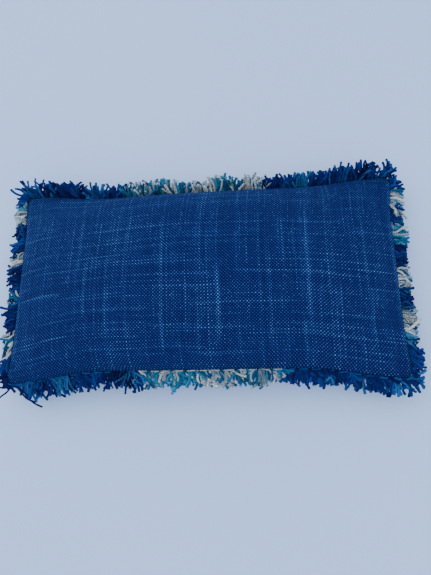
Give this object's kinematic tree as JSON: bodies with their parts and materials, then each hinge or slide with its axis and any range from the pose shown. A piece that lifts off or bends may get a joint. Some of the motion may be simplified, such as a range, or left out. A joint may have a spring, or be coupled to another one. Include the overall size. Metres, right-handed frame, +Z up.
{
  "type": "lumbar support cushion",
  "caption": "Rectangular stuffed lumbar cushion: woven two-panel cover with a cut brush fringe in colour blocks, a hidden zipper, and a fibre-filled insert.",
  "frame": {"origin": "centre of the footprint, on the surface that the cushion rests on", "axes": "+X along the length, +Y from the near long side (with the zipper) to the far one, +Z up through the front panel"},
  "size_m": [0.59, 0.333, 0.1087],
  "materials": {
    "cover_weave": "coarse two-tone blue weave with lighter slub threads",
    "header_tape": "woven fringe header tape",
    "navy_yarn": "plied cotton yarn, navy, royal and teal mixed",
    "cream_yarn": "plied cotton yarn, off-white with azure mixed in",
    "insert_casing": "plain non-woven casing",
    "fibre_filling": "polyester fibre",
    "zipper_tape": "woven zipper tape",
    "zipper_coil": "nylon coil",
    "zipper_metal": "satin plated metal"
  },
  "bodies": {
    "cushion": {"cover_front_panel": "cover_weave", "cover_back_panel": "cover_weave", "insert_top_casing": "insert_casing", "insert_bottom_casing": "insert_casing", "insert_fibre_filling": "fibre_filling", "fringe_header_near": "header_tape", "fringe_header_far": "header_tape", "fringe_header_left": "header_tape", "fringe_header_right": "header_tape", "fringe_near_1_navy": "navy_yarn", "fringe_near_2_cream": "cream_yarn", "fringe_near_3_navy": "navy_yarn", "fringe_far_1_navy": "navy_yarn", "fringe_far_2_cream": "cream_yarn", "fringe_far_3_navy": "navy_yarn", "fringe_left_1_navy": "navy_yarn", "fringe_left_2_cream": "cream_yarn", "fringe_left_3_navy": "navy_yarn", "fringe_left_4_cream": "cream_yarn", "fringe_left_5_navy": "navy_yarn", "fringe_left_6_cream": "cream_yarn", "fringe_left_7_navy": "navy_yarn", "fringe_left_8_cream": "cream_yarn", "fringe_left_9_navy": "navy_yarn", "fringe_right_1_navy": "navy_yarn", "fringe_right_2_cream": "cream_yarn", "fringe_right_3_navy": "navy_yarn", "fringe_right_4_cream": "cream_yarn", "fringe_right_5_navy": "navy_yarn", "fringe_right_6_cream": "cream_yarn", "fringe_right_7_navy": "navy_yarn", "fringe_right_8_cream": "cream_yarn", "fringe_right_9_navy": "navy_yarn", "zipper_upper_coil": "zipper_coil", "zipper_lower_coil": "zipper_coil", "zipper_upper_tape": "zipper_tape", "zipper_lower_tape": "zipper_tape", "zipper_upper_top_stop": "zipper_metal", "zipper_lower_top_stop": "zipper_metal", "zipper_bottom_stop": "zipper_metal"},
    "slider": {"zipper_slider_body": "zipper_metal"},
    "pull_tab": {"zipper_pull_tab": "zipper_metal"}
  },
  "joints": [
    {"name": "zipper_slide", "type": "slide", "parent": "cushion", "child": "slider", "axis": [-1, 0, 0], "range_m": [0, 0.234]},
    {"name": "pull_tab_hinge", "type": "hinge", "parent": "slider", "child": "pull_tab", "pos_m": [0.1172, -0.12965, 0.0329], "axis": [0, 0, 1], "range_deg": [0, 180]}
  ]
}
